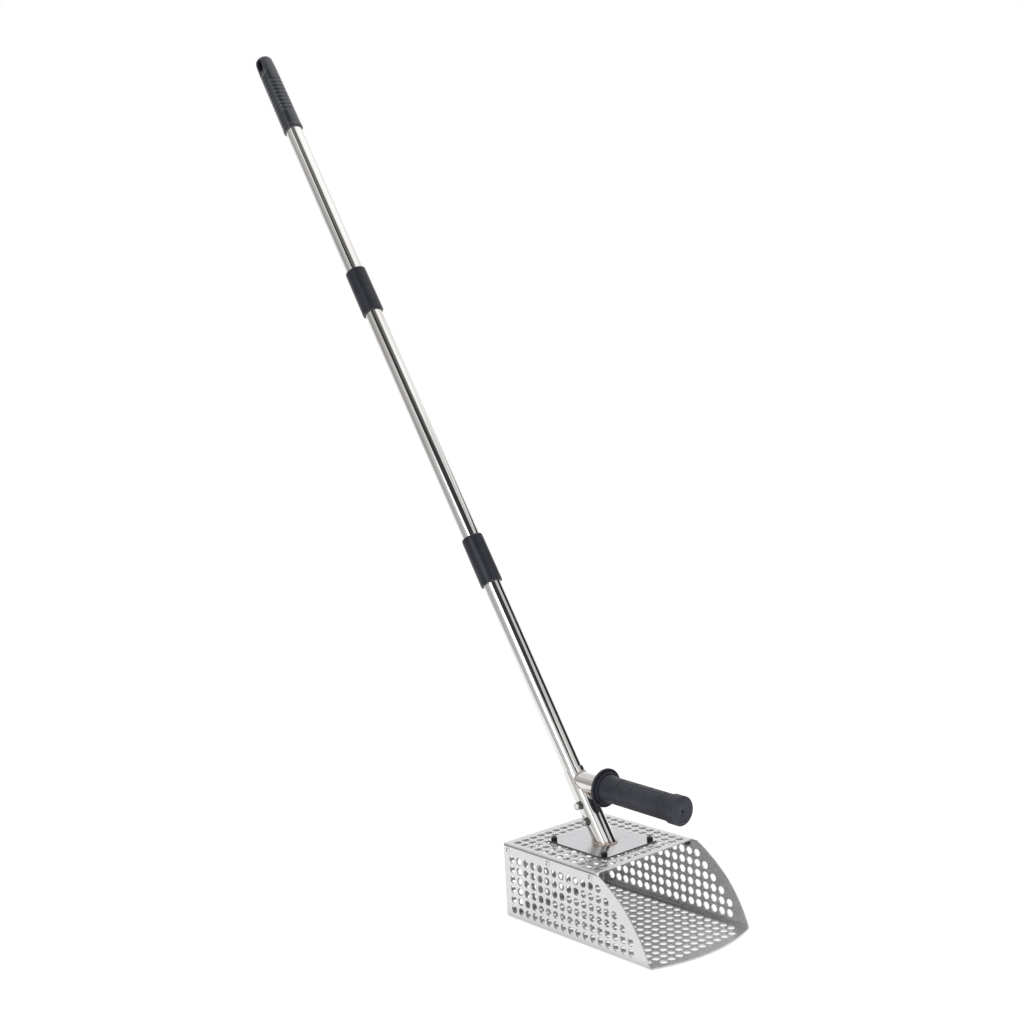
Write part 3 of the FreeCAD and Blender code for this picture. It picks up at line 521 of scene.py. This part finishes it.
def grip_surface(angle, radius, height):
    """Radius of the rubber grip with its raised tiles, its ribs and its knurled band."""
    tile_end = TILE_START + TILE_PITCH * TILES
    if TILE_START - 1 < height < tile_end + 1 and radius > TILE_RADIUS - 0.5:
        width = 2 * math.pi * TILE_RADIUS / TILE_ROWS
        row_turn = 360 / TILE_ROWS
        across = (math.degrees(angle) - TILE_TURN) % row_turn / row_turn * width
        along = (height - TILE_START) % TILE_PITCH
        if height < TILE_START or height > tile_end:
            along = 0
        border = min(across, width - across, along, TILE_PITCH - along)
        return radius - 0.55 * (1 - smooth_step(0.5, 1.0, border))
    for rib in RIBS:
        if abs(height - rib) < 1:
            return radius - 0.5 * (1 - smooth_step(0.2, 1.0, abs(height - rib)))
    if KNURL[0] < height < KNURL[1] and radius > TILE_RADIUS:
        return radius - 0.14 * (1 + math.cos(48 * angle))
    return radius


def front_grip():
    """Rubber grip: dished guard, raised ring, cone, tiled and ribbed body, knurled collar, vented end."""
    bore = STUB_RADIUS + 0.05
    guard = [(bore, GRIP_BACK)] + arc((21.4, 47.1), 1.1, -90, 0) + arc((21.7, 48.4), 0.8, 0, 90)
    dish = [(20.9, 48.9), (20.3, 47.7), (19.6, 47.4), (19.0, 47.9)]
    ring = [(18.8, 50.2)] + arc((18.1, 51.3), 0.7, 0, 90) + [(17.3, 51.9), (16.9, 51.4), (16.6, 51.3)]
    cone = [(16.4, 52.4), (16.1, 54.4), (15.7, 57.4), (15.4, 61.0)]
    body = divided([(TILE_RADIUS, 64), (TILE_RADIUS, 152.9)], 0.5)
    collar = [(15.6, 153.4), (16.3, 154.4)] + divided([(16.75, 155.4), (16.75, 160)], 0.6)
    end = arc((15.65, GRIP_TIP - 1.1), 1.1, 0, 90) + [(12.2, GRIP_TIP), (11.9, 168.15), (11.3, 168.15)]
    vent = [(11.0, GRIP_TIP), (2.1, GRIP_TIP), (1.5, 168.1), (1.5, 162), (bore, 162)]
    bm = bmesh.new()
    turned(bm, guard + dish + ring + cone + body + collar + end + vent, HANDLE, 240, grip_surface)
    piece("front_rubber_grip", bm, ("rubber",), "scoop", "black_rubber", "front_grip")


# ---- top grip and collars ----------------------------------------------------------------------------

POLE_END = 1100
TOP_BASE, TOP_TIP = 1018, 1136.5
GROOVES = [1047 + 6.1 * index for index in range(9)]
ROUND_HALF, FLAT_HALF = 13.4, 8.75
FLAT_START, FLAT_END = 1105, 1114
SLOT_MIDDLE, SLOT_LENGTH, SLOT_WIDTH = 1126, 15, 10
COLLAR_HALF = 32


def top_grip_surface(angle, radius, height):
    """Radius of the top grip with its ring grooves and the flats beside its hang slot."""
    if radius < STUB_RADIUS + 0.1 and height < TOP_TIP - 1:
        return radius
    for groove in GROOVES:
        distance = abs(height - groove)
        if distance < 1.6:
            radius -= 0.42 * (1 - smooth_step(0.2, 1.6, distance))
    half = ROUND_HALF - (ROUND_HALF - FLAT_HALF) * smooth_step(FLAT_START, FLAT_END, height)
    return min(radius, half / max(abs(math.sin(angle)), 1e-6))


def oblong(half_width, half_length, steps=12):
    """Outline of a rounded slot about its middle, as (across, along) points."""
    points = []
    straight = half_length - half_width
    for end, start in ((1, 0), (-1, 180)):
        for step in range(steps + 1):
            angle = math.radians(start + 180 * step / steps)
            points.append((half_width * math.cos(angle), end * straight + half_width * math.sin(angle)))
    return points


def hang_slot_cutter():
    """Oblong prism across the pole with flared mouths, for cutting the hang slot."""
    bm = bmesh.new()
    rings = []
    edge, mouth = FLAT_HALF - 0.9, FLAT_HALF + 5.5
    for across, flare in ((-mouth, 3.2), (-edge, 0.0), (edge, 0.0), (mouth, 3.2)):
        ring = []
        for side, along in oblong(SLOT_WIDTH / 2 + flare, SLOT_LENGTH / 2 + flare):
            ring.append(bm.verts.new(POLE @ (Vector((side, across, SLOT_MIDDLE + along)) * MM)))
        rings.append(ring)
    for low, high in zip(rings, rings[1:]):
        for index in range(len(low)):
            after = (index + 1) % len(low)
            bm.faces.new((low[index], low[after], high[after], high[index]))
    bm.faces.new(rings[0])
    bm.faces.new(rings[-1])
    bmesh.ops.recalc_face_normals(bm, faces=bm.faces)
    mesh = bpy.data.meshes.new("cutter")
    bm.to_mesh(mesh)
    bm.free()
    obj = bpy.data.objects.new("cutter", mesh)
    bpy.context.scene.collection.objects.link(obj)
    return obj


def cut_away(obj, cutter):
    """Cut one object's mesh with another and drop the cutter."""
    modifier = obj.modifiers.new("cut", "BOOLEAN")
    modifier.operation = "DIFFERENCE"
    modifier.solver = "EXACT"
    modifier.object = cutter
    bpy.context.view_layer.update()
    depsgraph = bpy.context.evaluated_depsgraph_get()
    finished = bpy.data.meshes.new_from_object(obj.evaluated_get(depsgraph))
    obj.modifiers.remove(modifier)
    obj.data = finished
    bpy.data.objects.remove(cutter)
    finished.shade_smooth()
    finished.set_sharp_from_angle(angle=SHARP_ANGLE)


def top_grip():
    """Plastic grip with a flared lower lip, ring grooves, a flattened neck and a hang slot."""
    bore = STUB_RADIUS + 0.05
    lip = [(bore, TOP_BASE), (12.6, TOP_BASE)] + arc((12.7, TOP_BASE + 0.6), 0.6, -90, 0)
    lip += [(13.3, 1022.0), (13.1, 1023.4)]
    taper = [(13.0, 1025.0), (12.9, 1040.0), (12.4, 1112.0), (12.1, 1121.0), (11.5, 1131.6)]
    body = divided(taper, 0.7)
    tip = [(11.2, 1132.7), (10.8, 1133.6), (10.2, 1134.6), (9.6, 1135.5), (8.9, 1136.1)]
    tip += [(8.1, TOP_TIP), (0, TOP_TIP)]
    bm = bmesh.new()
    profile = [(0, POLE_END), (bore, POLE_END)] + lip + body + tip
    turned(bm, profile, POLE, 128, top_grip_surface)
    grip = piece("top_plastic_grip", bm, ("glossy_plastic",), "pole_upper", "black_plastic", "top_grip")
    cut_away(grip, hang_slot_cutter())


def collar(name, joint, body, node):
    """Outer sleeve of a screwed joint: rounded upper end, thin lower lip and a ring line near each end."""
    bore = STUB_RADIUS + 0.06
    lower = [(bore, -COLLAR_HALF), (12.9, -COLLAR_HALF)] + arc((13.1, -31.3), 0.7, -90, 0)
    lower += [(13.8, -29.9), (13.5, -29.6), (13.5, -29.1), (13.78, -28.8)]
    upper = [(13.45, 27.3), (13.15, 27.6), (13.15, 28.1), (13.40, 28.4)] + arc((11.6, 30.2), 1.8, 0, 90)
    bm = bmesh.new()
    turned(bm, lower + upper + [(bore, COLLAR_HALF)], axis_frame(joint, POLE_AXIS))
    piece(name, bm, ("plastic",), body, "black_plastic", node)


# ---- fasteners ---------------------------------------------------------------------------------------

RIVET_REACH = 3.75
SCREW_REACH = 3.5
CLAMPS = {"lower": 30, "upper": 50}


def rivets(side):
    """Blind rivets of one side wall: domed heads with a recessed mandrel and bulbs inside."""
    node = "side_rivets_" + side
    low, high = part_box(node)
    outward = 1 if high.y > 0 else -1
    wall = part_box("scoop_side_" + side)[1 if outward > 0 else 0].y
    first, last = low.x + RIVET_REACH * MM, high.x - RIVET_REACH * MM
    bulb = [(0, -6.7), (1.3, -6.7), (2.1, -6.3), (2.45, -5.6), (2.5, -4.6), (2.3, -3.5)]
    bulb += [(2.1, -3.12), (0, -3.1)]
    shank = [(0, -3.0), (1.6, -3.0), (1.6, 0.0)]
    dome = [(3.6, 0.0), (3.75, 0.2), (3.65, 0.5), (3.2, 0.85), (2.5, 1.15), (1.8, 1.36), (1.35, 1.4)]
    recess = [(1.1, 1.2), (1.0, 0.2), (0, 0.15)]
    mandrel = [(0, 0.3), (0.9, 0.3), (0.95, 0.7), (0.7, 0.85), (0, 0.9)]
    bm = bmesh.new()
    for index in range(3):
        centre = Vector((first + (last - first) * index / 2, wall, (low.z + high.z) / 2))
        place = facing(centre, (0, outward, 0))
        turned(bm, shank + dome + recess, place, 40)
        # Mandrel and bulb take the near-black material, painted shade for the recess and the tails.
        turned(bm, mandrel, place, 24, material=1)
        turned(bm, bulb, place, 32, material=1)
    piece("rivets_" + side, bm, ("rivet", "mandrel"), "scoop", "rivet_metal", node)


def screw_head_surface(angle, radius, height):
    """Radius of a cap screw's head with its knurled side and its key hexagon."""
    if radius > 3.45 and 0.5 < height < 3.5:
        return radius - 0.13 * (1 - math.cos(24 * angle))
    if radius < 1.8 and height > 1.9:
        return hexagon(angle, 2 * radius)
    return radius


def plate_screws():
    """Four black cap screws: knurled heads, key hexagons and threaded shanks."""
    low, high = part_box("plate_screws")
    inset = SCREW_REACH * MM
    side = divided([(3.5, 0.2), (3.5, 3.6)], 0.35)
    head = [(0, 0), (3.3, 0)] + side + [(3.38, 3.85), (3.2, 4.0), (1.85, 4.0), (1.6, 3.8), (1.5, 3.6)]
    bm = bmesh.new()
    for x in (low.x + inset, high.x - inset):
        for y in (low.y + inset, high.y - inset):
            place = facing((x, y, PLATE_TOP), (0, 0, 1))
            turned(bm, head + [(1.5, 2.0), (0, 1.7)], place, 96, screw_head_surface)
            threaded(bm, place, 2.0, -8.0, 0.5, 0.7)
    piece("plate_cap_screws", bm, ("black",), "scoop", "black_oxide_steel", "plate_screws")


def clamp_bolt(name):
    """Hexagon clamp bolt with a chamfered, slightly dished head."""
    place = facing(POLE_FOOT + POLE_AXIS * (CLAMPS[name] * MM), (0, -1, 0))
    under, top, flats = 15.2, 18.7, 8.0
    side = [(0, under), (3.8, under), (4.3, under + 0.2), (4.62, under + 0.5), (4.62, top - 0.9)]
    crown = [(4.35, top - 0.45), (3.95, top - 0.12), (3.6, top), (2.7, top)]
    crown += [(2.4, top - 0.3), (0, top - 0.35)]

    def hexagonal(angle, radius, height):
        return min(radius, hexagon(angle, flats))

    bm = bmesh.new()
    turned(bm, side + crown, place, 96, hexagonal)
    threaded(bm, place, 2.5, 11.05, under + 0.3, 0.8)
    node = "clamp_bolt_" + name
    piece("hex_bolt_" + name, bm, ("clamp",), name + "_clamp_bolt", "bright_hardware", node)


# ---- weld beads --------------------------------------------------------------------------------------

BEAD_CORNERS = 12


def bead(name, points, radius, ripple, node):
    """Scalloped weld bead along a closed line of points."""
    bm = bmesh.new()
    rings = []
    count = len(points)
    travelled = 0.0
    for index, point in enumerate(points):
        before, after = points[index - 1], points[(index + 1) % count]
        travelled += (point - before).length
        tangent = (after - before).normalized()
        side = tangent.cross(Vector((0.3, 0.1, 1))).normalized()
        lift = side.cross(tangent)
        share = travelled / ripple % 1.0
        swell = radius * (0.88 + 0.2 * math.sqrt(max(0.0, 1 - (2 * share - 1) ** 2)))
        swell *= 1 + 0.06 * math.sin(5.3 * travelled / ripple)
        ring = []
        for corner in range(BEAD_CORNERS):
            angle = 2 * math.pi * corner / BEAD_CORNERS
            ring.append(bm.verts.new(point + (side * math.cos(angle) + lift * math.sin(angle)) * swell))
        rings.append(ring)
    for index, ring in enumerate(rings):
        following = rings[(index + 1) % count]
        for corner in range(BEAD_CORNERS):
            after = (corner + 1) % BEAD_CORNERS
            bm.faces.new((ring[corner], ring[after], following[after], following[corner]))
    piece(name, bm, ("weld",), "scoop", "weld_metal", node)


def socket_foot_line(count=420):
    """Line round the socket where it stands on the plate."""
    reach = (SOCKET_RADIUS + 0.45) * MM
    height = PLATE_TOP + 0.4 * MM
    middle = POLE_FOOT + POLE_AXIS * ((height - POLE_FOOT.z) / POLE_AXIS.z)
    slanted = reach / POLE_AXIS.z
    points = []
    for index in range(count):
        angle = 2 * math.pi * index / count
        points.append(middle + Vector((slanted * math.cos(angle), reach * math.sin(angle), 0)))
    return points


def stub_root_line(count=400):
    """Line round the handle tube where it meets the socket."""
    reach = (SOCKET_RADIUS + 0.35) * MM
    handle_flat = HANDLE_AXIS - POLE_AXIS * HANDLE_AXIS.dot(POLE_AXIS)
    points = []
    for index in range(count):
        angle = 2 * math.pi * index / count
        start = HANDLE @ (Vector((math.cos(angle), math.sin(angle), 0)) * ((STUB_RADIUS + 0.45) * MM))
        offset = start - POLE_FOOT
        flat = offset - POLE_AXIS * offset.dot(POLE_AXIS)
        a, b, c = handle_flat.dot(handle_flat), 2 * flat.dot(handle_flat), flat.dot(flat) - reach * reach
        points.append(start + HANDLE_AXIS * ((-b + math.sqrt(b * b - 4 * a * c)) / (2 * a)))
    return points


front_grip()
top_grip()
collar("middle_sleeve", FIRST_JOINT, "pole_middle", "middle_collar")
collar("upper_sleeve", SECOND_JOINT, "pole_upper", "upper_collar")
rivets("left")
rivets("right")
plate_screws()
clamp_bolt("lower")
clamp_bolt("upper")
bead("socket_foot_weld", socket_foot_line(), 0.95 * MM, 2.1 * MM, "socket_weld_bead")
bead("stub_root_weld", stub_root_line(), 0.80 * MM, 2.0 * MM, "stub_weld_bead")

# ---- stage, lights and camera ------------------------------------------------------------------------

MIDDLE = Vector((-0.2, 0, 0.4))
FLOOR_MARGIN = 0.02
SCREEN_STEPS = 14


def around(azimuth, elevation, distance):
    """Point at a direction and a distance from the middle of the pole."""
    turn, rise = math.radians(azimuth), math.radians(elevation)
    way = Vector((math.cos(turn) * math.cos(rise), math.sin(turn) * math.cos(rise), math.sin(rise)))
    return MIDDLE + way * distance


def glow(name, level):
    """Material of one brightness that takes no light."""
    n = Nodes(name)
    n.set(Base_Color=grey(0), Specular_IOR_Level=0, Emission_Color=(1, 1, 1, 1), Emission_Strength=level)
    return n.material


def edge_at(edge, azimuth):
    """Elevation of a screen's edge at an azimuth, from its corners."""
    for before, after in zip(edge, edge[1:]):
        if azimuth <= after[0] + 1e-6:
            return before[1] + (after[1] - before[1]) * (azimuth - before[0]) / (after[0] - before[0])
    return edge[-1][1]


def studio_screen(name, level, distance, low, high):
    """Curved screen round the object that shows only in reflections, between two edges of corners."""
    bm = bmesh.new()
    columns = []
    for across in range(SCREEN_STEPS + 1):
        azimuth = low[0][0] + (low[-1][0] - low[0][0]) * across / SCREEN_STEPS
        bottom, top = edge_at(low, azimuth), edge_at(high, azimuth)
        column = []
        for up in range(SCREEN_STEPS + 1):
            elevation = bottom + (top - bottom) * up / SCREEN_STEPS
            sink = math.sin(math.radians(max(-elevation, 0.01)))
            reach = min(distance, (MIDDLE.z - FLOOR_MARGIN) / sink)
            column.append(bm.verts.new(around(azimuth, elevation, reach)))
        columns.append(column)
    for left, right_column in zip(columns, columns[1:]):
        for up in range(SCREEN_STEPS):
            bm.faces.new((left[up], right_column[up], right_column[up + 1], left[up + 1]))
    mesh = bpy.data.meshes.new(name)
    bm.to_mesh(mesh)
    bm.free()
    mesh.materials.append(glow(name, level))
    obj = bpy.data.objects.new(name, mesh)
    bpy.context.scene.collection.objects.link(obj)
    obj.visible_camera = False
    obj.visible_shadow = False
    obj.visible_diffuse = False


def studio_floor():
    """Pale floor that glows like a light table."""
    n = Nodes("studio_floor")
    n.set(Base_Color=grey(0.22), Roughness=0.9, Emission_Color=(1, 1, 1, 1), Emission_Strength=0.82)
    mesh = bpy.data.meshes.new("studio_floor")
    reach, below = 7, -0.6 * MM
    square = ((-1, -1), (1, -1), (1, 1), (-1, 1))
    corners = [(x * reach, y * reach, below) for x, y in square]
    mesh.from_pydata(corners, [], [(0, 1, 2, 3)])
    mesh.materials.append(n.material)
    obj = bpy.data.objects.new("studio_floor", mesh)
    bpy.context.scene.collection.objects.link(obj)


def area_light(name, place, size, power):
    """Soft rectangular light aimed at the middle of the pole."""
    light = bpy.data.lights.new(name, "AREA")
    light.shape = "RECTANGLE"
    light.size, light.size_y = size
    light.energy = power
    obj = bpy.data.objects.new(name, light)
    bpy.context.scene.collection.objects.link(obj)
    obj.location = place
    obj.rotation_euler = (MIDDLE - Vector(place)).to_track_quat("-Z", "Y").to_euler()
    obj.visible_camera = False


# Each screen: name, brightness, distance, lower edge and upper edge. An edge's corners are azimuth and
# elevation in degrees, as seen from the middle of the pole. Nearer screens hide those behind them.
FRONT_LOW = ((-86, 36), (-60, 36.5), (-40, 36), (-28, 35), (-3, 42), (10, 44))
FRONT_MIDDLE = ((-86, 47), (-60, 50), (-28, 52), (-3, 53), (10, 52))
FRONT_HIGH = ((-86, 62), (-60, 66), (-28, 66), (-3, 57), (10, 52.5))
SCREENS = (
    ("dark_front", 0.05, 12.0, FRONT_LOW, FRONT_MIDDLE),
    ("dim_front", 0.18, 12.0, FRONT_MIDDLE, FRONT_HIGH),
    ("grey_flag", 0.55, 12.0, ((-58, 20), (-44, 20)), ((-58, 36.5), (-44, 36))),
    ("left_wall", 0.55, 11.5, ((-160, -18), (-100, -18)), ((-160, 36), (-100, 40))),
    ("left_strip", 0.70, 11.5, ((-100, -18), (-84, -18)), ((-100, 36), (-84, 36))),
    ("left_patch", 0.40, 11.0, ((-146, -4), (-118, -4)), ((-146, 18), (-118, 18))),
    ("dark_right", 0.03, 11.8, ((44, -4), (92, -4)), ((44, 43), (56, 38.5), (83, 28), (92, 24.5))),
    ("grey_gap", 0.70, 12.5, ((10, 30), (44, 30)), ((10, 50), (44, 50))),
    ("bright_right", 1.25, 13.0, ((5, 58), (25, 51), (60, 46.5), (100, 38)), ((5, 80), (100, 80))),
    ("grey_back", 0.80, 13.0, ((146, 25), (215, 25)), ((146, 60), (215, 60))),
)
studio_floor()
for screen in SCREENS:
    studio_screen(*screen)
area_light("key_softbox", around(-70, 24, 3.0), (1.0, 0.9), 14)

world = bpy.data.worlds.new("studio")
bpy.context.scene.world = world
world.use_nodes = True
background = world.node_tree.nodes["Background"]
background.inputs["Color"].default_value = (1, 1, 1, 1)
background.inputs["Strength"].default_value = 1.0
bpy.context.scene.view_settings.view_transform = "Standard"

AZIMUTH = math.radians(49.84)
ELEVATION = math.radians(7.37)
ROLL = math.radians(-2.92)
CAMERA_PLACE = Vector((1.37353, -1.27194, 0.71812))
FOCAL_LENGTH, SENSOR_WIDTH = 59.17, 36
level_reach = math.cos(ELEVATION)
back = Vector((math.sin(AZIMUTH) * level_reach, -math.cos(AZIMUTH) * level_reach, math.sin(ELEVATION)))
level_right = Vector((math.cos(AZIMUTH), math.sin(AZIMUTH), 0))
level_up = back.cross(level_right)
right = level_right * math.cos(ROLL) + level_up * math.sin(ROLL)
up = level_up * math.cos(ROLL) - level_right * math.sin(ROLL)
camera_data = bpy.data.cameras.new("camera")
camera_data.sensor_width = SENSOR_WIDTH
camera_data.lens = FOCAL_LENGTH
camera = bpy.data.objects.new("camera", camera_data)
bpy.context.scene.collection.objects.link(camera)
pose = Matrix((right, up, back)).transposed().to_4x4()
pose.translation = CAMERA_PLACE
camera.matrix_world = pose
bpy.context.scene.camera = camera
